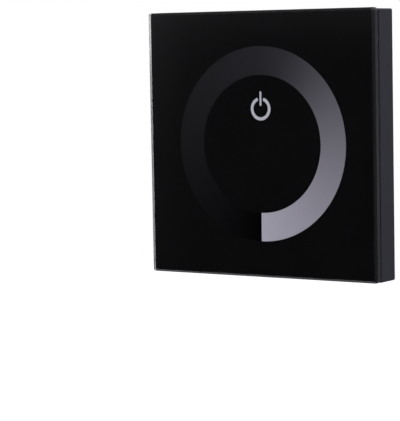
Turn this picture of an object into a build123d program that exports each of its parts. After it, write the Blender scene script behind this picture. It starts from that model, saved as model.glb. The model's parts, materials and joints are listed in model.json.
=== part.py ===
from build123d import *
import math
import os

# Wall-mounted touch dimmer with a square glass front, a shallow surface frame
# and a box behind it that goes into the wall.
# Millimetres. +Z up, the glass faces -Y, +X is to the right seen from the front.
# Origin: centre of the wall plane (back face of the base frame), midway between
# the two wall-box screw slots.

# ---------------------------------------------------------------- dimensions
GLASS_W = 86.2            # glass outline, square
GLASS_T = 2.8             # glass thickness
GLASS_CORNER_R = 0.9      # upright corners of the glass
GLASS_FRONT_CHAMFER = 0.75
GLASS_REAR_INSET = 0.25   # rear chamfer, steeper than the front one
GLASS_REAR_DEPTH = 0.65
GLASS_RISE = 0.2          # the glass sits this much above the frame's centre
PRINT_RISE = 0.27         # centre of the ring above the frame's centre
OUTER_DEPTH = 12.2        # front of the glass to the wall

PRINT_T = 0.1             # ink on the back of the glass
PRINT_HALF = 42.85        # the ink ends where the rear chamfer starts
PRINT_CORNER_R = 0.65
RING_R_OUT = 31.6         # brightness ring
RING_R_IN = 22.35
SYMBOL_Z = 11.38          # centre of the stand-by symbol's circle
SYMBOL_R_OUT = 3.77
SYMBOL_R_IN = 2.74
SYMBOL_GAP_DEG = 18.0     # half of the gap at the top of the circle
STEM_W = 0.70
STEM_Z0 = 12.33
STEM_Z1 = 17.0

ADHESIVE_T = 0.15
ADHESIVE_W = 82.0

FRAME_W = 85.9            # surface frame outline
FRAME_D = 8.6             # depth of the surface frame
FRAME_WALL = 2.0
FLOOR_T = 2.0             # floor of the frame, against the wall
FRAME_CORNER_R = 0.6
WINDOW_HALF = 23.0        # opening in the floor towards the wall box
GUSSET = 14.5             # the window's corners stay filled beyond this

SLOT_X = 30.15            # wall-box screw centres are 60.3 apart
SLOT_R = 2.1
SLOT_L = 8.0

CARRIER_W = 83.4          # edge seen in the shadow gap
CARRIER_INNER_W = 81.5    # inside the frame's wall
CARRIER_WINDOW = 68.0
CARRIER_RECESS = 73.0
TOUCH_BOARD_W = 72.8
TOUCH_BOARD_T = 1.2
COPPER_T = 0.1

BOX_W = 50.0              # box behind the wall plane
BOX_SEAT = 0.5            # its rim sits this deep in the back of the frame
BOX_D = 23.8
BOX_WALL = 1.6
BOX_REAR_WALL = 1.8
BOSS_XZ = 20.4            # housing screw positions
BOSS_R = 3.0
POST_X = 19.8             # power board posts
POST_Z = 10.0
POST_R = 2.4

BOARD_Y0 = 3.2            # power board, front and back faces
BOARD_Y1 = 4.8
BOARD_HALF = 22.8
BOARD_CORNER = 17.0       # the board's corners are cut away beyond this

HEADER_Z = 19.6           # board-to-board connector
HEADER_PITCH = 2.54
HEADER_N = 6

POLES = 4                 # screw terminal
PITCH = 5.08
PLUG_Y0, PLUG_Y1 = 5.4, 20.2
PLUG_Z0, PLUG_Z1 = -24.2, -14.2
NOSE_Y0, NOSE_Y1 = 5.9, 12.5
NOSE_Z1 = -8.6
CONTACT_Y = 9.2           # pin and socket axis
CAGE_Z = -19.6
CAGE_TRAVEL = 2.1

# ------------------------------------------------------------ derived planes
Y_FRONT = -OUTER_DEPTH
Y_GLASS = Y_FRONT + GLASS_T
Y_PRINT = Y_GLASS + PRINT_T
Y_GLUE = Y_PRINT + ADHESIVE_T
Y_BOARD = Y_GLUE + COPPER_T
Y_BOARD_BACK = Y_BOARD + TOUCH_BOARD_T
Y_LEDGE = Y_BOARD_BACK + 1.2
Y_SKIRT = -FRAME_D
POLE_X = [(i - (POLES - 1) / 2) * PITCH for i in range(POLES)]
PIN_X = [(i - (HEADER_N - 1) / 2) * HEADER_PITCH for i in range(HEADER_N)]

parts = {}


# ------------------------------------------------------------------- helpers
def blk(x0, x1, y0, y1, z0, z1):
    return Pos((x0 + x1) / 2, (y0 + y1) / 2, (z0 + z1) / 2) * Box(
        x1 - x0, y1 - y0, z1 - z0
    )


def cyl(x, z, r, y0, y1):
    """Cylinder along Y."""
    return Pos(x, (y0 + y1) / 2, z) * Rot(90, 0, 0) * Cylinder(r, y1 - y0)


def prism(sketch, y0, y1):
    """A flat figure drawn in X and Z, filled from y0 to y1."""
    return Pos(0, y1, 0) * Rot(90, 0, 0) * extrude(sketch, amount=y1 - y0)


def upright(shape, r):
    """Rounds the edges that run along Y."""
    return fillet(shape.edges().filter_by(Axis.Y), r)


def group(items):
    return Compound(children=list(items))


def annulus(r_out, r_in):
    return Circle(r_out) - Circle(r_in)


def pan_screw(x, z, y_seat, head_r, head_h, shank_r, length):
    """Pan head screw driven along +Y: the head stands in front of y_seat."""
    head = cyl(x, z, head_r, y_seat - head_h, y_seat)
    top = head.edges().group_by(Axis.Y)[0]
    head = fillet(top, head_h * 0.45)
    shank = cyl(x, z, shank_r, y_seat, y_seat + length)
    tip = shank.edges().group_by(Axis.Y)[-1]
    shank = chamfer(tip, shank_r * 0.55)
    s = head + shank
    d, w = head_r * 0.62, head_r * 0.17
    s -= blk(x - d, x + d, y_seat - head_h, y_seat - head_h * 0.35, z - w, z + w)
    s -= blk(x - w, x + w, y_seat - head_h, y_seat - head_h * 0.35, z - d, z + d)
    return s


# ------------------------------------------------------------- glass and ink
glass = blk(
    -GLASS_W / 2, GLASS_W / 2, Y_FRONT, Y_GLASS, -GLASS_W / 2, GLASS_W / 2
)
glass = upright(glass, GLASS_CORNER_R)
glass = chamfer(glass.faces().sort_by(Axis.Y)[0].edges(), GLASS_FRONT_CHAMFER)
rear = glass.faces().sort_by(Axis.Y)[-1]
glass = chamfer(rear.edges(), GLASS_REAR_INSET, GLASS_REAR_DEPTH, reference=rear)
RISE = Pos(0, 0, GLASS_RISE)
parts["glass_panel"] = RISE * glass

# Stand-by symbol: an open circle and an upright bar.
gap_half = math.radians(SYMBOL_GAP_DEG)
wedge = Polygon(
    (0, 0),
    (8 * math.sin(gap_half), 8 * math.cos(gap_half)),
    (-8 * math.sin(gap_half), 8 * math.cos(gap_half)),
    align=None,
)
arc = annulus(SYMBOL_R_OUT, SYMBOL_R_IN) - wedge
arc = fillet(arc.vertices(), 0.28)
arc = Pos(0, SYMBOL_Z) * arc
stem = Pos(0, (STEM_Z0 + STEM_Z1) / 2) * Rectangle(STEM_W, STEM_Z1 - STEM_Z0)
stem = fillet(stem.vertices(), STEM_W * 0.42)

ring2d = Pos(0, PRINT_RISE) * annulus(RING_R_OUT, RING_R_IN)
arc = Pos(0, PRINT_RISE) * arc
stem = Pos(0, PRINT_RISE) * stem
ink = Pos(0, GLASS_RISE) * RectangleRounded(
    2 * PRINT_HALF, 2 * PRINT_HALF, PRINT_CORNER_R
)
ink = ink - ring2d - arc - stem
parts["black_glass_print"] = prism(ink, Y_GLASS, Y_PRINT)
parts["brightness_ring_print"] = prism(ring2d, Y_GLASS, Y_PRINT)
parts["power_symbol_print"] = group(
    [prism(arc, Y_GLASS, Y_PRINT), prism(stem, Y_GLASS, Y_PRINT)]
)

parts["adhesive_sheet"] = RISE * upright(
    blk(
        -ADHESIVE_W / 2,
        ADHESIVE_W / 2,
        Y_PRINT,
        Y_GLUE,
        -ADHESIVE_W / 2,
        ADHESIVE_W / 2,
    ),
    1.0,
)

# ------------------------------------------------------------- front carrier
h = CARRIER_W / 2
carrier = upright(blk(-h, h, Y_GLUE, Y_SKIRT - 0.1, -h, h), 0.6)
h = CARRIER_INNER_W / 2
RIM_T = 1.3
RIM_END = -3.1
TONGUE_END = -2.3
carrier += upright(blk(-h, h, Y_SKIRT - 0.1, Y_LEDGE, -h, h), 0.8)
rim = upright(blk(-h, h, Y_LEDGE, RIM_END, -h, h), 0.8) - blk(
    -h + RIM_T, h - RIM_T, Y_LEDGE - 1, RIM_END + 1, -h + RIM_T, h - RIM_T
)
carrier += rim
# Four tongues that slide down the frame's inner wall, cut free of the rim.
TONGUE_Z = 22.0
TONGUE_W = 9.0
for sx in (-1, 1):
    for sz in (-1, 1):
        zc = sz * TONGUE_Z
        for e in (-1, 1):
            z0 = zc + e * (TONGUE_W / 2 + 0.5)
            xa, xb = sorted((sx * (h - RIM_T - 0.3), sx * (h + 0.5)))
            carrier -= blk(xa, xb, Y_LEDGE + 0.2, RIM_END + 1, z0 - 0.5, z0 + 0.5)
        xa, xb = sorted((sx * (h - RIM_T), sx * h))
        carrier += blk(
            xa, xb, RIM_END, TONGUE_END, zc - TONGUE_W / 2, zc + TONGUE_W / 2
        )
# Window behind the touch board, and the recess that the board lies in.
w = CARRIER_WINDOW / 2
carrier -= blk(-w, w, Y_GLUE - 1, Y_LEDGE + 1, -w, w)
w = CARRIER_RECESS / 2
carrier -= blk(-w, w, Y_GLUE - 1, Y_BOARD_BACK, -w, w)
# Relief over the prying notch of the frame.
carrier -= blk(-4.0, 4.0, -7.3, RIM_END + 1, -h - 1, -h + RIM_T + 0.05)
parts["front_carrier"] = carrier

# --------------------------------------------------------------- touch board
b = TOUCH_BOARD_W / 2
board = upright(blk(-b, b, Y_BOARD, Y_BOARD_BACK, -b, b), 1.0)
board -= cyl(0, SYMBOL_Z, 1.3, Y_BOARD - 1, Y_BOARD_BACK + 1)
for x in PIN_X:
    board -= cyl(x, HEADER_Z, 0.5, Y_BOARD - 1, Y_BOARD_BACK + 1)
parts["touch_board"] = board

# Copper behind the ring: eight sectors with 1 mm between them.
sector_all = annulus(RING_R_OUT - 0.3, RING_R_IN + 0.3)
for k in range(4):
    sector_all -= Rot(0, 0, 45 * k + 22.5) * Rectangle(1.0, 90)
sectors = prism(sector_all, Y_GLUE, Y_BOARD)
parts["ring_electrodes"] = group(sectors.solids())
pad = Pos(0, SYMBOL_Z) * annulus(6.2, 1.6)
parts["power_electrode"] = prism(pad, Y_GLUE, Y_BOARD)


def chip(cx, cz, wx, wz, y0, y1, r=0.15):
    return fillet(
        blk(cx - wx / 2, cx + wx / 2, y0, y1, cz - wz / 2, cz + wz / 2)
        .edges()
        .filter_by(Axis.Y),
        r,
    )


def gull_leads_x(cx, cz, n, pitch, half, foot, y_pcb, up, w=0.42, t=0.22):
    """Gull-wing leads on both X sides; up is +1 when the body stands towards +Y."""
    out = []
    for i in range(n):
        z = cz + (i - (n - 1) / 2) * pitch
        for s in (-1, 1):
            xa = cx + s * half
            xm = cx + s * (half + 0.45)
            xf = cx + s * foot
            y_mid = y_pcb + up * 0.75
            a = blk(*sorted((xa, xm)), *sorted((y_mid, y_mid + up * t)), z - w / 2, z + w / 2)
            c = blk(
                *sorted((xm - s * t, xm)),
                *sorted((y_pcb, y_mid + up * t)),
                z - w / 2,
                z + w / 2,
            )
            f = blk(*sorted((xm - s * t, xf)), *sorted((y_pcb, y_pcb + up * t)), z - w / 2, z + w / 2)
            out.append(a + c + f)
    return out


# Touch controller on the back of the touch board.
yb = Y_BOARD_BACK
TC_X, TC_Z = 0.0, -8.0
ctl = chip(TC_X, TC_Z, 3.9, 9.9, yb + 0.12, yb + 1.6)
ctl -= cyl(TC_X - 1.2, TC_Z + 4.2, 0.35, yb + 1.45, yb + 2)
parts["touch_controller"] = ctl
parts["touch_controller_leads"] = group(
    gull_leads_x(TC_X, TC_Z, 8, 1.27, 1.95, 3.0, yb, 1)
)
# Chip capacitors and resistors round it: brown bodies with tinned ends.
TB_PASSIVES = [
    (-9.0, -3.0, 0),
    (-9.0, -6.2, 0),
    (-9.0, -9.4, 0),
    (-9.0, -12.6, 0),
    (9.0, -3.0, 0),
    (9.0, -6.2, 0),
    (9.0, -9.4, 0),
    (9.0, -12.6, 0),
    (-5.0, 2.0, 1),
    (5.0, 2.0, 1),
    (5.4, 11.38, 1),
    (-5.4, 11.38, 1),
]


def passive(cx, cz, turned, y_pcb, up, h=0.8):
    """A 2.0 x 1.25 chip: the body between its two metal ends."""
    l, w, e = 2.0, 1.25, 0.35
    y0, y1 = sorted((y_pcb, y_pcb + up * h))
    if turned:
        body = blk(cx - w / 2, cx + w / 2, y0, y1, cz - l / 2 + e, cz + l / 2 - e)
        ends = [
            blk(cx - w / 2, cx + w / 2, y0, y1, cz - l / 2, cz - l / 2 + e),
            blk(cx - w / 2, cx + w / 2, y0, y1, cz + l / 2 - e, cz + l / 2),
        ]
    else:
        body = blk(cx - l / 2 + e, cx + l / 2 - e, y0, y1, cz - w / 2, cz + w / 2)
        ends = [
            blk(cx - l / 2, cx - l / 2 + e, y0, y1, cz - w / 2, cz + w / 2),
            blk(cx + l / 2 - e, cx + l / 2, y0, y1, cz - w / 2, cz + w / 2),
        ]
    return body, ends


bodies_, ends_ = [], []
for px, pz, turned in TB_PASSIVES:
    bb, ee = passive(px, pz, turned, yb, 1)
    bodies_.append(bb)
    ends_ += ee
parts["touch_board_chips"] = group(bodies_)
parts["touch_board_chip_ends"] = group(ends_)

# Lamp behind the symbol, shining forward through the hole in the board.
led = chip(0, SYMBOL_Z, 3.2, 1.6, yb, yb + 0.7)
led += cyl(0, SYMBOL_Z, 0.8, yb - 0.6, yb)
parts["symbol_lamp"] = led

# Board-to-board connector: pins on the touch board.
half = HEADER_N * HEADER_PITCH / 2
strip = blk(-half, half, yb, yb + 2.5, HEADER_Z - 1.25, HEADER_Z + 1.25)
for x in PIN_X:
    strip -= blk(x - 0.32, x + 0.32, yb - 1, yb + 3, HEADER_Z - 0.32, HEADER_Z + 0.32)
for x in PIN_X[:-1]:
    xm = x + HEADER_PITCH / 2
    for s in (-1, 1):
        z0 = HEADER_Z + s * 1.25
        strip -= blk(xm - 0.3, xm + 0.3, yb - 1, yb + 3, z0 - 0.3, z0 + 0.3)
parts["pin_header"] = strip
pins = []
for x in PIN_X:
    p = blk(x - 0.32, x + 0.32, Y_BOARD + 0.05, 0.6, HEADER_Z - 0.32, HEADER_Z + 0.32)
    p = chamfer(p.faces().sort_by(Axis.Y)[-1].edges(), 0.14)
    pins.append(p)
parts["pin_header_pins"] = group(pins)

# ---------------------------------------------------------------- base frame
f = FRAME_W / 2
fi = f - FRAME_WALL
frame = blk(-f, f, Y_SKIRT, 0, -f, f)
frame = upright(frame, FRAME_CORNER_R)
frame = fillet(frame.faces().sort_by(Axis.Y)[-1].edges(), 0.35)
frame = fillet(frame.faces().sort_by(Axis.Y)[0].edges(), 0.25)
frame -= upright(blk(-fi, fi, Y_SKIRT - 1, -FLOOR_T, -fi, fi), 1.0)
# Stiffening ribs on the floor beside the window.
for s in (-1, 1):
    for xr in (-12.0, 12.0):
        za, zb = sorted((s * WINDOW_HALF, s * (fi - 0.1 - RIM_T - 1.2)))
        frame += blk(xr - 0.6, xr + 0.6, -FLOOR_T - 0.9, -FLOOR_T, za, zb)
for s in (-1, 1):
    for zr in (-14.0, 14.0):
        xa, xb = sorted((s * WINDOW_HALF, s * (fi - 0.1 - RIM_T - 1.2)))
        frame += blk(xa, xb, -FLOOR_T - 0.9, -FLOOR_T, zr - 0.6, zr + 0.6)
# Window to the box behind, with its corners kept for the housing screws.
wh = WINDOW_HALF
window = blk(-wh, wh, -FLOOR_T - 2, 1, -wh, wh)
for sx in (-1, 1):
    for sz in (-1, 1):
        xa, xb = sorted((sx * GUSSET, sx * (wh + 1)))
        za, zb = sorted((sz * GUSSET, sz * (wh + 1)))
        window -= blk(xa, xb, -FLOOR_T - 3, 2, za, zb)
frame -= window
for sx in (-1, 1):
    for sz in (-1, 1):
        frame -= cyl(sx * BOSS_XZ, sz * BOSS_XZ, 1.35, -FLOOR_T - 1, 1)
# Slots for the wall-box screws, each in a shallow raised pad.
for s in (-1, 1):
    padblk = blk(
        s * SLOT_X - 7.2, s * SLOT_X + 7.2, -FLOOR_T - 0.6, -FLOOR_T, -5.4, 5.4
    )
    frame += upright(padblk, 1.5)
    slot = prism(
        Pos(s * SLOT_X, 0) * SlotOverall(SLOT_L, 2 * SLOT_R), -FLOOR_T - 2, 1
    )
    frame -= slot
# Shallow seat for the rim of the box behind.
sh = BOX_W / 2 + 0.1
frame -= upright(blk(-sh, sh, -BOX_SEAT, 1, -sh, sh), 1.7)
# Prying notch in the front edge, at the bottom.
frame -= blk(-3.5, 3.5, Y_SKIRT - 1, -7.2, -f - 1, -fi + 0.5)
parts["base_frame"] = frame

# -------------------------------------------------------------- rear housing
bx = BOX_W / 2
box = upright(blk(-bx, bx, -BOX_SEAT, BOX_D, -bx, bx), 1.6)
box = fillet(box.faces().sort_by(Axis.Y)[-1].edges(), 0.8)
bi = bx - BOX_WALL
YR = BOX_D - BOX_REAR_WALL
box -= upright(blk(-bi, bi, -1, YR, -bi, bi), 0.8)
for sx in (-1, 1):
    for sz in (-1, 1):
        cx, cz = sx * BOSS_XZ, sz * BOSS_XZ
        boss = cyl(cx, cz, BOSS_R, -BOX_SEAT, 11.0)
        xa, xb = sorted((cx, sx * (bi + 0.4)))
        za, zb = sorted((cz - BOSS_R, cz + BOSS_R))
        boss += blk(xa, xb, -BOX_SEAT, 11.0, cz - 1.2, cz + 1.2)
        za, zb = sorted((cz, sz * (bi + 0.4)))
        boss += blk(cx - 1.2, cx + 1.2, -BOX_SEAT, 11.0, za, zb)
        boss -= cyl(cx, cz, 1.25, -1, 8.5)
        box += boss
        post = cyl(sx * POST_X, sz * POST_Z, POST_R, BOARD_Y1, YR + 0.3)
        xa, xb = sorted((sx * POST_X, sx * (bi + 0.4)))
        post += blk(xa, xb, BOARD_Y1, YR + 0.3, sz * POST_Z - 0.8, sz * POST_Z + 0.8)
        post -= cyl(sx * POST_X, sz * POST_Z, 1.05, BOARD_Y1 - 1, 10.5)
        box += post
# Bay for the terminal plug: open below and to the back.
BAY = 10.7
box -= blk(-BAY, BAY, 5.0, BOX_D + 1, -bx - 1, -bi + 0.5)
box -= blk(-BAY, BAY, YR - 0.5, BOX_D + 1, -bx - 1, -8.2)
# Ejector pin marks left by the mould on the back wall.
for sx in (-1, 1):
    for z in (-20.2, 20.2):
        box -= cyl(sx * 20.2, z, 1.75, BOX_D - 0.15, BOX_D + 1)
    box -= cyl(sx * 17.6, 3.0, 1.75, BOX_D - 0.15, BOX_D + 1)
# Air slots in the back wall and in the top wall.
for i in range(7):
    x = -12.0 + 4.0 * i
    vent = prism(Pos(x, 8.0) * Rot(0, 0, 90) * SlotOverall(17.0, 1.5), YR - 1, BOX_D + 1)
    box -= vent
for i in range(5):
    x = -10.0 + 5.0 * i
    box -= blk(x - 0.75, x + 0.75, 8.5, 19.0, bi - 0.5, bx + 1)
parts["rear_housing"] = box

parts["housing_screws"] = group(
    [
        pan_screw(sx * BOSS_XZ, sz * BOSS_XZ, -FLOOR_T, 2.3, 1.5, 1.2, 9.0)
        for sx in (-1, 1)
        for sz in (-1, 1)
    ]
)

# --------------------------------------------------------------- power board
p = BOARD_HALF
pcb = blk(-p, p, BOARD_Y0, BOARD_Y1, -p, p)
for sx in (-1, 1):
    for sz in (-1, 1):
        xa, xb = sorted((sx * BOARD_CORNER, sx * (p + 1)))
        za, zb = sorted((sz * BOARD_CORNER, sz * (p + 1)))
        pcb -= blk(xa, xb, BOARD_Y0 - 1, BOARD_Y1 + 1, za, zb)
        pcb -= cyl(sx * POST_X, sz * POST_Z, 1.2, BOARD_Y0 - 1, BOARD_Y1 + 1)
for x in PIN_X:
    pcb -= cyl(x, HEADER_Z, 0.5, BOARD_Y0 - 1, BOARD_Y1 + 1)
PIN_LEG_Z = -1.2
for x in POLE_X:
    pcb -= cyl(x, PIN_LEG_Z, 0.78, BOARD_Y0 - 1, BOARD_Y1 + 1)
CAP_X, CAP_Z, CAP_R = -9.0, 11.0, 5.0
for s in (-1, 1):
    pcb -= cyl(CAP_X + s * 2.5, CAP_Z, 0.45, BOARD_Y0 - 1, BOARD_Y1 + 1)
parts["power_board"] = pcb

parts["power_board_screws"] = group(
    [
        pan_screw(sx * POST_X, sz * POST_Z, BOARD_Y0, 1.9, 1.3, 1.0, 6.6)
        for sx in (-1, 1)
        for sz in (-1, 1)
    ]
)

# Socket for the pins of the touch board, with its forked contacts.
SOCK_Y0 = -5.2
sock = blk(-half, half, SOCK_Y0, BOARD_Y0, HEADER_Z - 1.25, HEADER_Z + 1.25)
contacts = []
for x in PIN_X:
    sock -= blk(x - 0.56, x + 0.56, SOCK_Y0 - 1, 2.4, HEADER_Z - 0.42, HEADER_Z + 0.42)
    sock -= blk(x - 0.3, x + 0.3, 2.3, BOARD_Y0 + 1, HEADER_Z - 0.3, HEADER_Z + 0.3)
    fork = blk(x - 0.5, x + 0.5, 1.6, 2.2, HEADER_Z - 0.3, HEADER_Z + 0.3)
    fork += blk(x - 0.5, x - 0.35, -3.8, 1.6, HEADER_Z - 0.3, HEADER_Z + 0.3)
    fork += blk(x + 0.35, x + 0.5, -3.8, 1.6, HEADER_Z - 0.3, HEADER_Z + 0.3)
    fork += blk(x - 0.28, x + 0.28, 2.2, BOARD_Y1 + 0.9, HEADER_Z - 0.28, HEADER_Z + 0.28)
    contacts.append(fork)
parts["header_socket"] = sock
parts["socket_contacts"] = group(contacts)


# Microcontroller on the front of the power board.
MC_X, MC_Z = 0.0, 8.0
mcu = chip(MC_X, MC_Z, 3.9, 8.7, BOARD_Y0 - 1.6, BOARD_Y0 - 0.12)
mcu -= cyl(MC_X - 1.2, MC_Z + 3.6, 0.35, BOARD_Y0 - 2, BOARD_Y0 - 1.45)
parts["microcontroller"] = mcu
parts["microcontroller_leads"] = group(
    gull_leads_x(MC_X, MC_Z, 7, 1.27, 1.95, 3.0, BOARD_Y0, -1)
)

# Voltage regulator, front of the power board: three legs and a wide tab.
RG_X, RG_Z = -12.0, 6.0
reg = chip(RG_X, RG_Z, 6.5, 3.5, BOARD_Y0 - 1.7, BOARD_Y0 - 0.1)
parts["voltage_regulator"] = reg


def tab_lead(cx, w, z_body, z_foot, y_pcb, up, t=0.26):
    s = 1 if z_foot > z_body else -1
    ym = y_pcb + up * 0.8
    zm = z_body + s * 0.5
    a = blk(cx - w / 2, cx + w / 2, *sorted((ym, ym + up * t)), *sorted((z_body, zm)))
    c = blk(cx - w / 2, cx + w / 2, *sorted((y_pcb, ym + up * t)), *sorted((zm - s * t, zm)))
    e = blk(cx - w / 2, cx + w / 2, *sorted((y_pcb, y_pcb + up * t)), *sorted((zm - s * t, z_foot)))
    return a + c + e


legs = [
    tab_lead(RG_X + dx, 0.75, RG_Z - 1.75, RG_Z - 3.5, BOARD_Y0, -1)
    for dx in (-2.3, 0, 2.3)
]
legs.append(tab_lead(RG_X, 3.0, RG_Z + 1.75, RG_Z + 3.5, BOARD_Y0, -1))
parts["regulator_leads"] = group(legs)

# Two power transistors on the back of the power board.
FET_X = (3.6, 12.4)
FET_Z = 11.5
fets, tabs = [], []
for x in FET_X:
    fets.append(chip(x, FET_Z, 6.6, 6.1, BOARD_Y1 + 0.55, BOARD_Y1 + 2.3, 0.2))
    tabs.append(
        blk(x - 2.6, x + 2.6, BOARD_Y1, BOARD_Y1 + 0.5, FET_Z - 2.6, FET_Z + 4.2)
    )
    for dx in (-2.28, 2.28):
        tabs.append(
            tab_lead(x + dx, 0.76, FET_Z - 3.05, FET_Z - 5.6, BOARD_Y1, 1, 0.5)
        )
parts["power_transistors"] = group(fets)
parts["transistor_tabs"] = group(tabs)

# Input capacitor: sleeved can, rubber seal, two leads.
CAP_Y0 = BOARD_Y1 + 0.3
CAP_Y1 = CAP_Y0 + 15.5
can = cyl(CAP_X, CAP_Z, CAP_R - 0.15, CAP_Y0 + 1.2, CAP_Y1)
can = fillet(can.edges().group_by(Axis.Y)[-1], 0.7)
for a in (0, 60, 120):
    can -= Pos(CAP_X, CAP_Y1, CAP_Z) * Rot(0, a, 0) * Box(7.0, 0.3, 0.35)
parts["capacitor_can"] = can
sleeve = cyl(CAP_X, CAP_Z, CAP_R, CAP_Y0 + 0.2, CAP_Y1 - 1.2) - cyl(
    CAP_X, CAP_Z, CAP_R - 0.15, CAP_Y0, CAP_Y1
)
parts["capacitor_sleeve"] = sleeve
seal = cyl(CAP_X, CAP_Z, CAP_R - 0.15, CAP_Y0, CAP_Y0 + 1.2)
for s in (-1, 1):
    seal -= cyl(CAP_X + s * 2.5, CAP_Z, 0.3, CAP_Y0 - 1, CAP_Y0 + 2)
parts["capacitor_seal"] = seal
parts["capacitor_leads"] = group(
    [
        cyl(CAP_X + s * 2.5, CAP_Z, 0.3, BOARD_Y0 - 0.8, CAP_Y0 + 1.2)
        for s in (-1, 1)
    ]
)

# Protection diode and fuse, back of the power board.
DI_X, DI_Z = -16.6, 0.0
dio = chip(DI_X, DI_Z, 5.0, 6.0, BOARD_Y1 + 0.3, BOARD_Y1 + 2.4, 0.2)
parts["protection_diode"] = dio
parts["diode_leads"] = group(
    [
        tab_lead(DI_X, 2.6, DI_Z + s * 3.0, DI_Z + s * 4.1, BOARD_Y1, 1, 0.3)
        for s in (-1, 1)
    ]
)
FU_X, FU_Z = 16.6, 0.0
parts["fuse"] = blk(
    FU_X - 1.3, FU_X + 1.3, BOARD_Y1 + 0.05, BOARD_Y1 + 2.65, FU_Z - 1.9, FU_Z + 1.9
)
parts["fuse_caps"] = group(
    [
        blk(
            FU_X - 1.35,
            FU_X + 1.35,
            BOARD_Y1,
            BOARD_Y1 + 2.7,
            *sorted((FU_Z + s * 1.9, FU_Z + s * 3.1)),
        )
        for s in (-1, 1)
    ]
)

# Chip parts on the front of the power board.
PB_PASSIVES = [
    (8.5, 12.0, 0),
    (8.5, 9.0, 0),
    (8.5, 6.0, 0),
    (8.5, 3.0, 0),
    (12.5, 12.0, 0),
    (12.5, 9.0, 0),
    (12.5, 6.0, 0),
    (12.5, 3.0, 0),
    (-6.0, -8.0, 1),
    (-2.0, -8.0, 1),
    (2.0, -8.0, 1),
    (6.0, -8.0, 1),
]
bodies_, ends_ = [], []
for px, pz, turned in PB_PASSIVES:
    bb, ee = passive(px, pz, turned, BOARD_Y0, -1)
    bodies_.append(bb)
    ends_ += ee
parts["power_board_chips"] = group(bodies_)
parts["power_board_chip_ends"] = group(ends_)

# ----------------------------------------------------------- terminal header
HX = 11.1
HZ0, HZ1 = -14.0, -2.2
hdr = blk(-HX, HX, BOARD_Y1, 13.6, HZ0, HZ1)
hdr = fillet(hdr.edges().filter_by(Axis.Z), 0.4)
hdr -= blk(-HX + 0.8, HX - 0.8, 5.7, 12.8, HZ0 - 1, HZ1 - 3.0)
hdr -= blk(-HX + 2.2, HX - 2.2, 12.0, 14.0, HZ0 - 1, HZ0 + 4.5)
for x in POLE_X:
    hdr -= blk(x - 0.5, x + 0.5, CONTACT_Y - 0.5, CONTACT_Y + 0.5, HZ1 - 4, HZ1 + 1)
parts["terminal_header"] = hdr
hpins = []
for x in POLE_X:
    lng = blk(x - 0.5, x + 0.5, CONTACT_Y - 0.5, CONTACT_Y + 0.5, -12.6, PIN_LEG_Z + 0.5)
    lng = chamfer(lng.faces().sort_by(Axis.Z)[0].edges(), 0.2)
    leg = blk(
        x - 0.5, x + 0.5, BOARD_Y0 - 1.0, CONTACT_Y, PIN_LEG_Z - 0.5, PIN_LEG_Z + 0.5
    )
    hpins.append(lng + leg)
parts["terminal_header_pins"] = group(hpins)

# ------------------------------------------------------------- terminal plug
PX = POLES * PITCH / 2
plug = blk(-PX, PX, PLUG_Y0, PLUG_Y1, PLUG_Z0, PLUG_Z1)
plug = fillet(plug.edges().filter_by(Axis.X), 0.5)
plug += blk(-PX + 0.1, PX - 0.1, NOSE_Y0, NOSE_Y1, PLUG_Z1 - 0.5, NOSE_Z1)
# Step below the screw heads and grooves between the poles.
for i in range(POLES - 1):
    xg = (POLE_X[i] + POLE_X[i + 1]) / 2
    plug -= blk(xg - 0.25, xg + 0.25, PLUG_Y1 - 0.6, PLUG_Y1 + 1, PLUG_Z0 - 1, PLUG_Z1 + 1)
CH_Y0, CH_Y1 = 6.7, 14.1
CH_Z0, CH_Z1 = CAGE_Z - 2.45, CAGE_Z + 2.45
for x in POLE_X:
    plug -= blk(x - 2.05, x + 2.05, CH_Y0, CH_Y1, CH_Z0, CH_Z1)
    # wire entry with a funnel
    plug -= blk(x - 1.4, x + 1.4, 7.3, 10.1, PLUG_Z0 - 1, CH_Z0 + 0.2)
    plug -= (
        Pos(x, 8.7, PLUG_Z0)
        * extrude(Rectangle(4.2, 4.2), amount=0.9, taper=38)
    )
    # contact channel to the nose
    plug -= blk(x - 1.45, x + 1.45, 7.75, 10.65, CH_Z1 - 0.2, NOSE_Z1 + 1)
    # screw hole and head recess
    plug -= cyl(x, CAGE_Z, 1.4, CH_Y1 - 0.5, 17.0)
    plug -= cyl(x, CAGE_Z, 2.05, 16.5, PLUG_Y1 + 1)
parts["terminal_plug"] = plug

socks = []
for x in POLE_X:
    bar = blk(x - 1.1, x + 1.1, 9.9, 10.5, CAGE_Z - 2.1, -13.5)
    tube = blk(x - 1.3, x + 1.3, 7.9, 10.5, -13.6, -9.2) - blk(
        x - 0.6, x + 0.6, CONTACT_Y - 0.6, CONTACT_Y + 0.6, -14, -8
    )
    tube -= blk(x - 0.12, x + 0.12, 7.0, 8.7, -14, -8)
    socks.append(bar + tube)
parts["plug_contacts"] = group(socks)

for i, x in enumerate(POLE_X, 1):
    cage = blk(x - 1.95, x + 1.95, 6.8, 11.8, CAGE_Z - 2.3, CAGE_Z + 2.3)
    cage = fillet(cage.edges().filter_by(Axis.Z), 0.45)
    cage -= blk(x - 1.35, x + 1.35, 7.7, 10.6, CAGE_Z - 3, CAGE_Z + 3)
    cage -= cyl(x, CAGE_Z, 1.3, 10.0, 12.5)
    parts[f"wire_clamp_{i}"] = cage
    scr = cyl(x, CAGE_Z, 1.9, 16.55, 18.15)
    scr = fillet(scr.edges().group_by(Axis.Y)[-1], 0.35)
    scr += cyl(x, CAGE_Z, 1.25, 10.75, 16.55)
    scr -= blk(x - 2.2, x + 2.2, 17.25, 18.6, CAGE_Z - 0.3, CAGE_Z + 0.3)
    parts[f"terminal_screw_{i}"] = scr

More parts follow.
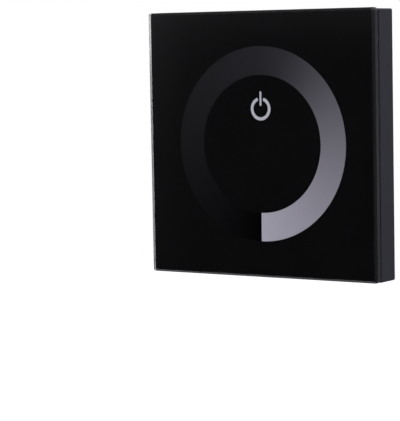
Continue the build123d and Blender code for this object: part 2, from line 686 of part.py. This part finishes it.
# -------------------------------------------------------------------- output
os.makedirs("parts", exist_ok=True)
for name, shape in parts.items():
    export_step(shape, f"parts/{name}.step")
    print(name, len(shape.solids()))
print(len(parts), "nodes")
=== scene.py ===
import json
import math

import bpy
from mathutils import Matrix, Vector


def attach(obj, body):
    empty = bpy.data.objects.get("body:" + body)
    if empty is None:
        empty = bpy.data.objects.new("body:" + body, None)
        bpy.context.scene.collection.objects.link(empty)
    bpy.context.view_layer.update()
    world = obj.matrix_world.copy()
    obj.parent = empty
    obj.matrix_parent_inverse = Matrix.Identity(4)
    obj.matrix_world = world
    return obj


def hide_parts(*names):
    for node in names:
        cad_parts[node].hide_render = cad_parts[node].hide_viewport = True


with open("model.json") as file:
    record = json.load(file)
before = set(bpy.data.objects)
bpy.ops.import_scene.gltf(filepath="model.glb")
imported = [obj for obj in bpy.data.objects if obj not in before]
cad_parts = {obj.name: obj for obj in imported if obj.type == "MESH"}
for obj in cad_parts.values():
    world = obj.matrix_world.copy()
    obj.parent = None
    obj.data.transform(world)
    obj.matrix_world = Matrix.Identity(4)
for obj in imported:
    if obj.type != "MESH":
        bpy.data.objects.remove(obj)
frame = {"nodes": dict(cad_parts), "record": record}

# Touch dimmer switch: finishes, glass plate, studio and camera.
# Row frame: +Z up, the glass faces -Y, the wall plane is Y = 0. Lengths in metres; MM turns millimetres into metres.

MM = 0.001
GLASS_RISE, PRINT_RISE = 0.2, 0.27  # centres of the glass and of its prints above the frame's centre
SCENE = bpy.context.scene
nodes = frame["nodes"]
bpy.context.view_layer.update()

# ------------------------------------------------------------------ node helpers


def put(nt, socket, value):
    """Links a socket, or sets a plain value."""
    if isinstance(value, bpy.types.NodeSocket):
        nt.links.new(value, socket)
    else:
        socket.default_value = value


def node(nt, kind, ins=None, **props):
    n = nt.nodes.new(kind)
    for k, v in props.items():
        setattr(n, k, v)
    for k, v in (ins or {}).items():
        put(nt, n.inputs[k], v)
    return n


def calc(nt, op, a, b=None, c=None, clamp=False):
    """One Math node's result."""
    ins = {0: a}
    if b is not None:
        ins[1] = b
    if c is not None:
        ins[2] = c
    return node(nt, "ShaderNodeMath", ins, operation=op, use_clamp=clamp).outputs[0]


def blend_colour(nt, share, a, b, mode="MIX"):
    n = node(nt, "ShaderNodeMix", data_type="RGBA", blend_type=mode)
    put(nt, n.inputs[0], share)
    put(nt, n.inputs[6], a)
    put(nt, n.inputs[7], b)
    return n.outputs[2]


def span(nt, value, low, high, to_low, to_high, kind="LINEAR"):
    """Value from low..high mapped to to_low..to_high, held at the ends."""
    return node(
        nt, "ShaderNodeMapRange",
        {"Value": value, "From Min": low, "From Max": high, "To Min": to_low, "To Max": to_high},
        interpolation_type=kind,
    ).outputs["Result"]


def place(nt):
    """Coordinates in the row frame, in millimetres, that ride with the piece."""
    c = node(nt, "ShaderNodeTexCoord").outputs["Object"]
    return node(nt, "ShaderNodeVectorMath", {0: c, 1: (1000.0, 1000.0, 1000.0)}, operation="MULTIPLY").outputs[0]


def axes(nt, vector):
    return node(nt, "ShaderNodeSeparateXYZ", {0: vector}).outputs


def noise(nt, vector, size, detail=2.0, rough=0.5, distortion=0.0):
    """Noise with features about size millimetres across."""
    return node(
        nt, "ShaderNodeTexNoise",
        {"Vector": vector, "Scale": 1.0 / size, "Detail": detail, "Roughness": rough, "Distortion": distortion},
    ).outputs["Fac"]


def stretch(nt, vector, sx, sy, sz):
    return node(nt, "ShaderNodeVectorMath", {0: vector, 1: (sx, sy, sz)}, operation="MULTIPLY").outputs[0]


def bump(nt, height, depth, strength=1.0, normal=None):
    """Normal from a height of 0..1 standing for depth millimetres."""
    n = node(nt, "ShaderNodeBump", {"Height": height, "Distance": depth * MM, "Strength": strength})
    if normal is not None:
        put(nt, n.inputs["Normal"], normal)
    return n.outputs[0]


def fresh(name):
    mat = bpy.data.materials.new(name)
    mat.use_nodes = True
    nt = mat.node_tree
    nt.nodes.clear()
    out = node(nt, "ShaderNodeOutputMaterial")
    return mat, nt, out


def principled(nt, out, **values):
    p = node(nt, "ShaderNodeBsdfPrincipled")
    for k, v in values.items():
        put(nt, p.inputs[k.replace("_", " ")], v)
    nt.links.new(p.outputs[0], out.inputs["Surface"])
    return p


def tone(c, k):
    return tuple(min(1.0, x * k) for x in c[:3]) + (1.0,)


# ------------------------------------------------------------------ finishes


def moulded(name, colour, rough=(0.42, 0.54), grain=0.16, depth=0.006, specular=0.5, mottle_and_pit_shade=0.10, flow=True):
    """Injection-moulded plastic: a fine spark-eroded grain, slight cloudiness, faint flow marks, and painted shade that
    darkens the grain's pits.
    """
    mat, nt, out = fresh(name)
    at = place(nt)
    fine = noise(nt, at, grain, 3.0, 0.6)
    cloud = noise(nt, at, 9.0, 3.0, 0.55)
    if flow:
        marks = noise(nt, stretch(nt, at, 0.12, 0.5, 1.0), 1.6, 2.0, 0.5, 0.6)
        cloud = calc(nt, "ADD", calc(nt, "MULTIPLY", cloud, 0.75), calc(nt, "MULTIPLY", marks, 0.25))
    c = blend_colour(nt, span(nt, cloud, 0.3, 0.7, 0.0, 1.0), tone(colour, 1 - mottle_and_pit_shade), tone(colour, 1 + mottle_and_pit_shade))
    # painted shade: the grain's pits are drawn a little darker than its tops, standing in for the shade that falls in
    # them
    c = blend_colour(nt, 1.0, c, span(nt, fine, 0.32, 0.68, 1 - 1.4 * mottle_and_pit_shade, 1 + 1.4 * mottle_and_pit_shade), "MULTIPLY")
    r = span(nt, calc(nt, "ADD", calc(nt, "MULTIPLY", fine, 0.6), calc(nt, "MULTIPLY", cloud, 0.4)), 0.3, 0.7, *rough)
    principled(nt, out, Base_Color=c, Roughness=r, IOR=1.5, Specular_IOR_Level=specular, Normal=bump(nt, fine, depth))
    return mat


def metal(name, colour, rough=(0.22, 0.38), grain=0.25, depth=0.0015, lay=(1.0, 1.0, 1.0), stain=None, stain_share=0.25):
    """Plated or bare metal with a fine grain, brushed where lay stretches it, and a little tarnish."""
    mat, nt, out = fresh(name)
    at = place(nt)
    fine = noise(nt, stretch(nt, at, *lay), grain, 3.0, 0.6)
    cloud = noise(nt, at, 1.3, 4.0, 0.6)
    c = blend_colour(nt, span(nt, cloud, 0.42, 0.75, 0.0, stain_share), tone(colour, 1.0), tone(stain or colour, 1.0 if stain else 0.7))
    r = span(nt, calc(nt, "ADD", calc(nt, "MULTIPLY", fine, 0.5), calc(nt, "MULTIPLY", cloud, 0.5)), 0.3, 0.7, *rough)
    principled(nt, out, Base_Color=c, Metallic=1.0, Roughness=r, Normal=bump(nt, fine, depth))
    return mat


def circuit_board(name, mask, seed):
    """Green solder mask over copper: patches of ground, bundles of straight tracks, small vias, and a bare glass-fibre edge."""
    mat, nt, out = fresh(name)
    at = place(nt)
    x, y, z = axes(nt, at)
    flat = node(nt, "ShaderNodeCombineXYZ", {0: calc(nt, "ADD", x, seed), 1: z, 2: 0.0}).outputs[0]

    def cells(size, distance="CHEBYCHEV", randomness=0.8):
        return node(
            nt, "ShaderNodeTexVoronoi", {"Vector": flat, "Scale": 1.0 / size, "Randomness": randomness},
            voronoi_dimensions="2D", distance=distance, feature="F1").outputs

    def lines(value, pitch, wide, seed_by):
        """Parallel tracks, some of them left out."""
        step = calc(nt, "DIVIDE", value, pitch)
        share = calc(nt, "ABSOLUTE", calc(nt, "SUBTRACT", calc(nt, "FRACT", step), 0.5))
        which = node(nt, "ShaderNodeTexWhiteNoise", {
            "Vector": node(nt, "ShaderNodeCombineXYZ", {0: calc(nt, "FLOOR", step), 1: seed_by, 2: 0.0}).outputs[0]},
            noise_dimensions="3D").outputs["Value"]
        return calc(nt, "MULTIPLY", span(nt, share, wide / pitch / 2, wide / pitch / 2 + 0.03, 1.0, 0.0), calc(nt, "GREATER_THAN", which, 0.3))

    patch = cells(9.0)
    kind = axes(nt, node(nt, "ShaderNodeVectorMath", {0: patch["Color"], 1: (1, 1, 1)}, operation="MULTIPLY").outputs[0])[0]
    # each patch takes level, rising or slanting tracks, or solid ground, by its own random value
    level = lines(calc(nt, "ADD", z, seed), 0.85, 0.30, kind)
    rising = lines(calc(nt, "ADD", x, seed), 0.85, 0.30, kind)
    slant = lines(calc(nt, "MULTIPLY", calc(nt, "ADD", x, z), 0.7071), 0.85, 0.30, kind)
    first = calc(nt, "LESS_THAN", kind, 0.26)
    second = calc(nt, "MULTIPLY", calc(nt, "GREATER_THAN", kind, 0.26), calc(nt, "LESS_THAN", kind, 0.46))
    third = calc(nt, "MULTIPLY", calc(nt, "GREATER_THAN", kind, 0.46), calc(nt, "LESS_THAN", kind, 0.56))
    ground = calc(nt, "GREATER_THAN", kind, 0.56)
    copper = calc(nt, "ADD", calc(nt, "MULTIPLY", first, level), calc(nt, "MULTIPLY", second, rising))
    copper = calc(nt, "ADD", copper, calc(nt, "MULTIPLY", third, slant))
    copper = calc(nt, "MAXIMUM", copper, ground)
    spots = cells(4.6, "EUCLIDEAN", 0.9)
    there = calc(nt, "GREATER_THAN", axes(nt, spots["Color"])[1], 0.45)
    ring = calc(nt, "MULTIPLY", span(nt, spots["Distance"], 0.062, 0.07, 1.0, 0.0), there)
    hole = calc(nt, "MULTIPLY", span(nt, spots["Distance"], 0.028, 0.034, 1.0, 0.0), there)
    via = calc(nt, "SUBTRACT", ring, hole, clamp=True)
    # the board's faces look along Y; its cut edges show the laminate
    facing = calc(nt, "ABSOLUTE", axes(nt, node(nt, "ShaderNodeNewGeometry").outputs["True Normal"])[1])
    face = span(nt, facing, 0.6, 0.8, 0.0, 1.0)
    weave = noise(nt, stretch(nt, at, 1.0, 6.0, 1.0), 0.5, 2.0)
    c = blend_colour(nt, copper, tone(mask, 0.85), tone(mask, 1.22))
    c = blend_colour(nt, calc(nt, "MULTIPLY", noise(nt, at, 6.0, 2.0), 0.2), c, tone(mask, 0.6))
    c = blend_colour(nt, via, c, (0.62, 0.62, 0.58, 1))
    # painted shade: the via holes are drawn near black, standing in for the dark inside them
    c = blend_colour(nt, hole, c, (0.012, 0.02, 0.012, 1))
    edge = blend_colour(nt, weave, (0.42, 0.40, 0.20, 1), (0.58, 0.55, 0.32, 1))
    c = blend_colour(nt, face, edge, c)
    shiny = calc(nt, "MULTIPLY", via, face)
    r = span(nt, noise(nt, at, 0.4, 2.0), 0.3, 0.7, 0.24, 0.34)
    r = calc(nt, "ADD", r, calc(nt, "MULTIPLY", calc(nt, "SUBTRACT", 1.0, face), 0.4))
    height = calc(nt, "MULTIPLY", calc(nt, "SUBTRACT", calc(nt, "MAXIMUM", copper, via), hole), face)
    principled(nt, out, Base_Color=c, Roughness=r, Metallic=shiny, IOR=1.5, Normal=bump(nt, height, 0.02))
    return mat


def black_print(name):
    """Opaque black screen print bonded to the back of the glass."""
    mat, nt, out = fresh(name)
    at = place(nt)
    pores = noise(nt, at, 0.12, 2.0)
    cloud = noise(nt, at, 22.0, 2.0)
    level = calc(nt, "ADD", calc(nt, "MULTIPLY", pores, 0.3), calc(nt, "MULTIPLY", cloud, 0.7))
    c = blend_colour(nt, span(nt, level, 0.35, 0.65, 0.0, 1.0), (0.0026, 0.0026, 0.0029, 1), (0.0034, 0.0034, 0.0037, 1))
    principled(nt, out, Base_Color=c, Roughness=span(nt, pores, 0.3, 0.7, 0.5, 0.6), Specular_IOR_Level=0.0)
    return mat


def ring_print(name):
    """The brightness ring: grey that grows clockwise from black, cut off just past six o'clock."""
    mat, nt, out = fresh(name)
    at = place(nt)
    x, y, z = axes(nt, at)
    turn = calc(nt, "DIVIDE", calc(nt, "ARCTAN2", x, calc(nt, "SUBTRACT", z, PRINT_RISE)), 2 * math.pi)
    t = calc(nt, "FRACT", calc(nt, "ADD", turn, 0.5 - 0.65 / 360))
    # almost black for the first half turn, then a soft knee and a nearly even climb
    u = calc(nt, "SUBTRACT", t, 0.5444)
    knee = calc(nt, "MULTIPLY", calc(nt, "ADD", u, calc(nt, "SQRT", calc(nt, "ADD", calc(nt, "MULTIPLY", u, u), 0.0445 ** 2))), 0.5)
    grey = calc(nt, "ADD", calc(nt, "MULTIPLY", t, 0.033), calc(nt, "MULTIPLY", calc(nt, "POWER", knee, 1.1845), 0.944))
    grain = span(nt, noise(nt, at, 0.14, 2.0), 0.3, 0.7, 0.965, 1.035)
    grey = calc(nt, "MULTIPLY", grey, calc(nt, "MULTIPLY", grain, 1 / 0.42))
    c = blend_colour(nt, grey, (0.0, 0.0, 0.0, 1), (0.441, 0.420, 0.483, 1))
    principled(nt, out, Base_Color=c, Roughness=span(nt, grain, 0.96, 1.04, 0.5, 0.6), Specular_IOR_Level=0.0)
    return mat


def symbol_print(name):
    """Pale grey print of the stand-by symbol."""
    mat, nt, out = fresh(name)
    at = place(nt)
    grain = noise(nt, at, 0.14, 2.0)
    c = blend_colour(nt, span(nt, grain, 0.3, 0.7, 0.0, 1.0), (0.485, 0.485, 0.535, 1), (0.53, 0.53, 0.58, 1))
    principled(nt, out, Base_Color=c, Roughness=span(nt, grain, 0.3, 0.7, 0.5, 0.6), Specular_IOR_Level=0.0)
    return mat


def lets_light_in(nt, out, shader, through):
    """The glass as seen, with lamp and scattered light passing straight to what it covers."""
    ray = node(nt, "ShaderNodeLightPath")
    clear = node(nt, "ShaderNodeBsdfTransparent", {"Color": through})
    share = calc(nt, "MAXIMUM", ray.outputs["Is Shadow Ray"], ray.outputs["Is Diffuse Ray"])
    mix = node(nt, "ShaderNodeMixShader", {0: share, 1: shader, 2: clear.outputs[0]})
    nt.links.new(mix.outputs[0], out.inputs["Surface"])


def polished_glass(name):
    mat, nt, out = fresh(name)
    p = node(nt, "ShaderNodeBsdfPrincipled", {
        "Base Color": (0.985, 0.995, 0.992, 1), "Roughness": 0.0, "IOR": 1.52, "Transmission Weight": 1.0})
    lets_light_in(nt, out, p.outputs[0], (0.94, 0.95, 0.945, 1))
    return mat


def ground_glass(name, rough, tint):
    """The edge of the plate, ground and half polished, so it glows where light comes in from behind."""
    mat, nt, out = fresh(name)
    at = place(nt)
    lines = noise(nt, stretch(nt, at, 0.04, 1.0, 0.04), 0.09, 3.0, 0.6)
    pits = noise(nt, at, 0.07, 2.0)
    level = calc(nt, "ADD", calc(nt, "MULTIPLY", lines, 0.6), calc(nt, "MULTIPLY", pits, 0.4))
    p = node(nt, "ShaderNodeBsdfPrincipled", {
        "Base Color": tint, "IOR": 1.52, "Transmission Weight": 1.0,
        "Roughness": span(nt, level, 0.3, 0.7, *rough)})
    put(nt, p.inputs["Normal"], bump(nt, level, 0.004))
    lets_light_in(nt, out, p.outputs[0], (0.8, 0.82, 0.81, 1))
    return mat


def film(name):
    """Double-sided adhesive: milky, with small trapped bubbles."""
    mat, nt, out = fresh(name)
    at = place(nt)
    cloud = noise(nt, at, 5.0, 3.0)
    dots = node(nt, "ShaderNodeTexVoronoi", {"Vector": at, "Scale": 0.7, "Randomness": 1.0}, feature="F1").outputs["Distance"]
    spot = span(nt, dots, 0.06, 0.12, 1.0, 0.0)
    c = blend_colour(nt, cloud, (0.60, 0.60, 0.57, 1), (0.74, 0.74, 0.70, 1))
    c = blend_colour(nt, calc(nt, "MULTIPLY", spot, 0.5), c, (0.85, 0.85, 0.82, 1))
    principled(nt, out, Base_Color=c, Roughness=span(nt, cloud, 0.3, 0.7, 0.3, 0.45), Normal=bump(nt, spot, 0.01))
    return mat


def chip_body(name):
    """Small ceramic chip parts: some tan capacitors, some black resistors."""
    mat, nt, out = fresh(name)
    at = place(nt)
    x, y, z = axes(nt, at)
    kind = node(nt, "ShaderNodeTexWhiteNoise", {
        "Vector": node(nt, "ShaderNodeCombineXYZ", {
            0: calc(nt, "ROUND", calc(nt, "DIVIDE", x, 3.0)), 1: 0.0, 2: calc(nt, "ROUND", calc(nt, "DIVIDE", z, 3.0))}).outputs[0]},
        noise_dimensions="3D").outputs["Value"]
    grain = noise(nt, at, 0.1, 2.0)
    tan = blend_colour(nt, grain, (0.36, 0.26, 0.16, 1), (0.46, 0.34, 0.22, 1))
    c = blend_colour(nt, calc(nt, "GREATER_THAN", kind, 0.55), tan, (0.018, 0.018, 0.02, 1))
    principled(nt, out, Base_Color=c, Roughness=span(nt, grain, 0.3, 0.7, 0.4, 0.55), Normal=bump(nt, grain, 0.004))
    return mat


def sleeve(name):
    """The capacitor's shrink sleeve, with a pale stripe down one side."""
    mat, nt, out = fresh(name)
    at = place(nt)
    x, y, z = axes(nt, at)
    angle = calc(nt, "ARCTAN2", calc(nt, "SUBTRACT", z, 11.0), calc(nt, "ADD", x, 9.0))
    stripe = span(nt, calc(nt, "ABSOLUTE", calc(nt, "SUBTRACT", angle, 0.6)), 0.30, 0.33, 1.0, 0.0)
    wrinkle = noise(nt, stretch(nt, at, 1.0, 0.3, 1.0), 1.2, 2.0)
    c = blend_colour(nt, stripe, (0.016, 0.022, 0.06, 1), (0.42, 0.44, 0.50, 1))
    c = blend_colour(nt, calc(nt, "MULTIPLY", wrinkle, 0.2), c, (0.03, 0.035, 0.07, 1))
    principled(nt, out, Base_Color=c, Roughness=span(nt, wrinkle, 0.3, 0.7, 0.22, 0.36), Normal=bump(nt, wrinkle, 0.03))
    return mat


def resin(name):
    """The small lamp: clear resin over a white body, yellowish in its middle."""
    mat, nt, out = fresh(name)
    at = place(nt)
    x, y, z = axes(nt, at)
    r2 = calc(nt, "ADD", calc(nt, "POWER", x, 2.0), calc(nt, "POWER", calc(nt, "SUBTRACT", z, 11.38), 2.0))
    core = span(nt, r2, 0.25, 0.8, 1.0, 0.0)
    haze = noise(nt, at, 0.3, 2.0)
    c = blend_colour(nt, core, (0.82, 0.82, 0.80, 1), (0.80, 0.66, 0.14, 1))
    c = blend_colour(nt, calc(nt, "MULTIPLY", haze, 0.15), c, (0.95, 0.95, 0.9, 1))
    principled(nt, out, Base_Color=c, Roughness=span(nt, haze, 0.3, 0.7, 0.15, 0.3), Coat_Weight=0.6)
    return mat


PLASTIC = (0.0200, 0.0197, 0.0303)
finish = {
    "black_plastic": moulded("black_plastic", PLASTIC, (0.44, 0.56), 0.22, 0.03, 0.38),
    "black_ink": black_print("black_print"),
    "ring_ink": ring_print("ring_print"),
    "symbol_ink": symbol_print("symbol_print"),
    "adhesive_film": film("adhesive_film"),
    "circuit_board": circuit_board("circuit_board", (0.010, 0.115, 0.042), 3.7),
    "copper": metal("copper", (0.86, 0.42, 0.26), (0.25, 0.42), 0.2, 0.001, stain=(0.55, 0.22, 0.12), stain_share=0.5),
    "chip_plastic": moulded("chip_plastic", (0.017, 0.017, 0.019), (0.5, 0.66), 0.07, 0.004, 0.45, 0.12, False),
    "tinned_metal": metal("tinned_metal", (0.74, 0.74, 0.72), (0.22, 0.42), 0.2, 0.002, stain=(0.56, 0.55, 0.52)),
    "chip_ceramic": chip_body("chip_ceramic"),
    "lamp_resin": resin("lamp_resin"),
    "header_plastic": moulded("header_plastic", (0.014, 0.014, 0.015), (0.36, 0.5), 0.12, 0.003, 0.5, 0.1, False),
    "gold_plated": metal("gold_plated", (0.94, 0.70, 0.30), (0.16, 0.3), 0.15, 0.001, stain=(0.80, 0.52, 0.2)),
    "zinc_steel": metal("zinc_steel", (0.66, 0.68, 0.70), (0.24, 0.44), 0.18, 0.002, (1.0, 0.35, 1.0), stain=(0.62, 0.60, 0.48), stain_share=0.5),
    "aluminium_can": metal("aluminium_can", (0.84, 0.84, 0.86), (0.26, 0.4), 0.12, 0.001, (1.0, 0.2, 1.0)),
    "sleeve_film": sleeve("sleeve_film"),
    "seal_rubber": moulded("seal_rubber", (0.022, 0.022, 0.023), (0.62, 0.78), 0.2, 0.008, 0.35, 0.15, False),
    "fuse_ceramic": moulded("fuse_ceramic", (0.80, 0.79, 0.74), (0.28, 0.4), 0.3, 0.003, 0.5, 0.03, False),
    "green_plastic": moulded("green_plastic", (0.030, 0.300, 0.110), (0.38, 0.52), 0.18, 0.012, 0.5, 0.08),
    "clamp_steel": metal("clamp_steel", (0.70, 0.70, 0.66), (0.26, 0.46), 0.2, 0.002, (0.4, 1.0, 1.0), stain=(0.60, 0.55, 0.38), stain_share=0.4),
}
slot_of = {s["node"]: s["material_slot"] for s in frame["record"]["subparts"]}
for name, obj in nodes.items():
    slot = slot_of[name]
    if slot in finish:
        obj.data.materials.clear()
        obj.data.materials.append(finish[slot])

# ------------------------------------------------------------------ glass plate


def rounded_square(half, radius, steps):
    """Points (x, z) and outward directions of a square with rounded corners, anticlockwise seen from the front."""
    points = []
    for quarter, (cx, cz) in enumerate(((1, 1), (-1, 1), (-1, -1), (1, -1))):
        for k in range(steps + 1):
            a = (quarter + k / steps) * math.pi / 2
            e = (math.cos(a), math.sin(a))
            points.append(((cx * (half - radius) + radius * e[0], cz * (half - radius) + radius * e[1]), e))
    return points


def softened(profile, radius, steps):
    """The profile's corners rounded with small arcs: a list of (inset, y, normal, normal of the far side)."""
    out = []
    for i, p in enumerate(profile):
        p = Vector(p)
        a = (Vector(profile[i - 1]) - p).normalized() if i else None
        b = (Vector(profile[i + 1]) - p).normalized() if i + 1 < len(profile) else None
        if a is None or b is None:
            out.append((p, None))
            continue
        half = a.angle(b) / 2
        d = radius / math.tan(half)
        centre = p + (a + b).normalized() * (radius / math.sin(half))
        start, end = p + a * d - centre, p + b * d - centre
        for k in range(steps + 1):
            t = k / steps
            v = start.lerp(end, t).normalized()
            out.append((centre + v * radius, v))
    return out


def glass_plate():
    """86.2 x 86.2 x 2.8 mm toughened glass with a chamfer round the front and a steeper one round the back, each edge eased slightly."""
    half, corner, front, back = 43.1, 0.9, -12.2, -9.4
    bevel = 0.75  # front chamfer
    inset, depth = 0.25, 0.65  # rear chamfer
    sunk = 0.05  # the prints are bonded to the glass, so its back face lies just inside them
    profile = [(1.6, front), (bevel, front), (0.0, front + bevel), (0.0, back - depth), (inset, back), (inset, back + sunk)]
    # outwards is towards negative inset
    ring = softened(profile[:5], 0.10, 3)
    rows = [(v[0], v[1], n) for v, n in ring]
    rows[0] = (rows[0][0], rows[0][1], Vector((0.0, -1.0)))
    rows[-1] = (inset, back, Vector((-1.0, 0.0)))
    rows.append((inset, back + sunk, Vector((-1.0, 0.0))))
    steps = 7
    verts, outward = [], []
    for cut, y, n in rows:
        for (x, z), e in rounded_square(half - cut, max(corner - cut, 0.06), steps):
            verts.append((x * MM, y * MM, (z + GLASS_RISE) * MM))
            outward.append((e, n))
    count = 4 * (steps + 1)
    faces, slots, normals = [], [], []

    def normal_of(i, n):
        e = outward[i][0]
        return Vector((-n[0] * e[0], n[1], -n[0] * e[1])).normalized()

    faces.append(list(range(count)))
    slots.append(0)
    normals.append([Vector((0, -1, 0))] * count)
    for r in range(len(rows) - 1):
        a, b = rows[r], rows[r + 1]
        # flat between two arcs: one normal for the strip; on an arc: the arc's own normals
        d = Vector((b[0] - a[0], b[1] - a[1]))
        strip = Vector((-d[1], d[0])).normalized()
        arc = d.length < 0.09 and a[2] is not None and b[2] is not None
        na, nb = (a[2], b[2]) if arc else (strip, strip)
        for k in range(count):
            i, j = r * count + k, r * count + (k + 1) % count
            faces.append([i, i + count, j + count, j])
            slots.append(0 if (r == 0 or r == len(rows) - 2) else (2 if a[1] < front + bevel - 0.05 else 1))
            normals.append([normal_of(i, na), normal_of(i + count, nb), normal_of(j + count, nb), normal_of(j, na)])
    last = (len(rows) - 1) * count
    faces.append([last + k for k in reversed(range(count))])
    slots.append(0)
    normals.append([Vector((0, 1, 0))] * count)
    mesh = bpy.data.meshes.new("glass_plate")
    mesh.from_pydata(verts, [], faces)
    mesh.polygons.foreach_set("material_index", slots)
    mesh.polygons.foreach_set("use_smooth", [True] * len(faces))
    mesh.update()
    mesh.normals_split_custom_set([tuple(v) for face in normals for v in face])
    obj = bpy.data.objects.new("glass_plate", mesh)
    SCENE.collection.objects.link(obj)
    mesh.materials.append(polished_glass("polished_glass"))
    mesh.materials.append(ground_glass("ground_glass_edge", (0.42, 0.56), (0.86, 0.89, 0.885, 1)))
    mesh.materials.append(ground_glass("polished_chamfer", (0.06, 0.12), (0.93, 0.95, 0.945, 1)))
    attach(obj, "front_panel")
    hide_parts("glass_panel")
    return obj


plate = glass_plate()

# ------------------------------------------------------------------ floor


def floor():
    mesh = bpy.data.meshes.new("floor")
    r, z = 8.5, -1.2
    mesh.from_pydata([(-r, -r, z), (r, -r, z), (r, r, z), (-r, r, z)], [], [(0, 1, 2, 3)])
    obj = bpy.data.objects.new("floor", mesh)
    SCENE.collection.objects.link(obj)
    mat, nt, out = fresh("pale_floor")
    at = node(nt, "ShaderNodeTexCoord").outputs["Object"]
    soft = node(nt, "ShaderNodeTexNoise", {"Vector": at, "Scale": 3.0, "Detail": 2.0}).outputs["Fac"]
    c = blend_colour(nt, soft, (0.80, 0.80, 0.80, 1), (0.83, 0.83, 0.83, 1))
    principled(nt, out, Base_Color=c, Roughness=0.9, Specular_IOR_Level=0.1,
               Emission_Color=(1, 1, 1, 1), Emission_Strength=0.45)
    mesh.materials.append(mat)
    obj.visible_glossy = False


floor()

# ------------------------------------------------------------------ light


def studio():
    """Soft studio: a tall panel at the left and behind, a soft box above the front, a dim right side, a dark front."""
    world = bpy.data.worlds.new("studio")
    world.use_nodes = True
    nt = world.node_tree
    nt.nodes.clear()
    way = node(nt, "ShaderNodeTexCoord").outputs["Generated"]
    x, y, z = axes(nt, way)

    def along(v):
        v = Vector(v).normalized()
        return node(nt, "ShaderNodeVectorMath", {0: way, 1: tuple(v)}, operation="DOT_PRODUCT").outputs["Value"]

    def edge(value, at, slope, level):
        """Rises from 0 to level round the value at."""
        e = calc(nt, "EXPONENT", calc(nt, "MULTIPLY", calc(nt, "SUBTRACT", value, at), -slope))
        return calc(nt, "DIVIDE", level, calc(nt, "ADD", e, 1.0))

    left = calc(nt, "MULTIPLY", edge(along((-0.790, 0.5636, 0.242)), 0.0176, 80.0, 0.62), span(nt, z, 0.35, 0.75, 1.0, 0.15, "SMOOTHSTEP"))
    left = calc(nt, "MULTIPLY", left, span(nt, x, -0.4, 0.1, 1.0, 0.0, "SMOOTHSTEP"))
    back = span(nt, y, -0.05, 0.45, 0.0, 0.45, "SMOOTHSTEP")
    back = calc(nt, "MULTIPLY", back, span(nt, along((0.60, 0.79, -0.05)), 0.5, 0.9, 1.0, 0.28, "SMOOTHSTEP"))
    above = calc(nt, "MULTIPLY", edge(z, 0.0205, 110.0, 0.30), span(nt, z, 0.5, 0.85, 1.0, 0.5, "SMOOTHSTEP"))
    box = span(nt, along((0.35, -0.55, 0.76)), 0.78, 0.93, 0.0, 1.3, "SMOOTHSTEP")
    side = span(nt, along((0.95, -0.30, 0.0)), 0.45, 0.85, 0.0, 0.2, "SMOOTHSTEP")
    below = calc(nt, "MULTIPLY", span(nt, z, -0.3, -0.7, 0.0, 0.12, "SMOOTHSTEP"), span(nt, y, -0.4, 0.0, 0.0, 1.0, "SMOOTHSTEP"))
    total = calc(nt, "MAXIMUM", left, back)
    strip = span(nt, along((-0.36, 0.93, 0.10)), 0.84, 0.96, 0.0, 0.9, "SMOOTHSTEP")
    for part in (above, box, side, below, strip):
        total = calc(nt, "ADD", total, part)
    total = calc(nt, "ADD", total, 0.02)
    seen = node(nt, "ShaderNodeLightPath").outputs["Is Camera Ray"]
    soft = node(nt, "ShaderNodeBackground", {"Color": (1.0, 0.985, 1.06, 1), "Strength": total})
    white = node(nt, "ShaderNodeBackground", {"Color": (1.0, 1.0, 1.0, 1), "Strength": 1.0})
    mix = node(nt, "ShaderNodeMixShader", {0: seen, 1: soft.outputs[0], 2: white.outputs[0]})
    out = node(nt, "ShaderNodeOutputWorld")
    nt.links.new(mix.outputs[0], out.inputs["Surface"])
    SCENE.world = world


studio()


def corner_light(on):
    """A small lamp near the upper left corner, behind the glass, which picks out the plate's edge there."""
    lamp = bpy.data.lights.new("corner_light", "AREA")
    lamp.shape = "RECTANGLE"
    lamp.size, lamp.size_y = 0.02, 0.02
    lamp.energy = 0.025
    obj = bpy.data.objects.new("corner_light", lamp)
    SCENE.collection.objects.link(obj)
    obj.location = (-0.062, 0.006, 0.038)
    obj.rotation_euler = (Vector((-0.043, -0.011, 0.036)) - obj.location).to_track_quat("-Z", "Y").to_euler()
    obj.visible_camera = obj.visible_glossy = False
    lit = bpy.data.collections.new("corner_light_reaches")
    lit.objects.link(on)
    obj.light_linking.receiver_collection = lit


corner_light(plate)

# ------------------------------------------------------------------ camera

camera = bpy.data.cameras.new("camera")
camera.sensor_fit = "AUTO"
camera.sensor_width = 36.0
camera.lens = 2024.68 * 36.0 / 421.0
camera.clip_start, camera.clip_end = 0.01, 20.0
eye = bpy.data.objects.new("camera", camera)
SCENE.collection.objects.link(eye)
right = Vector((0.8260394, 0.5633039, -0.0186452))
up = Vector((-0.0315790, 0.0792871, 0.9963515))
away = Vector((0.5627270, -0.8224368, 0.0832828))
place_at = Vector((0.3526059, -0.5616072, 0.0334621 + PRINT_RISE * MM))
eye.matrix_world = Matrix((
    (right.x, up.x, away.x, place_at.x),
    (right.y, up.y, away.y, place_at.y),
    (right.z, up.z, away.z, place_at.z),
    (0, 0, 0, 1)))
SCENE.camera = eye
SCENE.view_settings.view_transform = "Standard"
SCENE.view_settings.look = "None"
